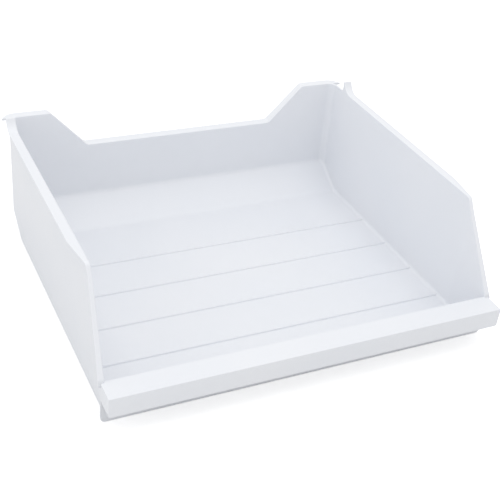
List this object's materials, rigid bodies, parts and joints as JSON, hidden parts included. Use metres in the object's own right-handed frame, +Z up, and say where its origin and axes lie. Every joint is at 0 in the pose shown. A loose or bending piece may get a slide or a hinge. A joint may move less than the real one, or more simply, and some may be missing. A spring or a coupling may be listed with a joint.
{
  "type": "freezer drawer",
  "caption": "Low-fronted freezer drawer tray in white moulded plastic, with side rims that run in guides, rear stop lugs, a hollow pull lip and a dip in the back wall.",
  "frame": {"origin": "middle of the bottom rectangle, on the plane the tray stands on", "axes": "+X to the right seen from the front, +Y to the back wall, +Z up; the lip faces -Y"},
  "size_m": [0.435, 0.39, 0.151],
  "materials": {
    "white_plastic": "satin moulded"
  },
  "bodies": {
    "root": {"drawer_tray": "white_plastic"}
  },
  "joints": []
}
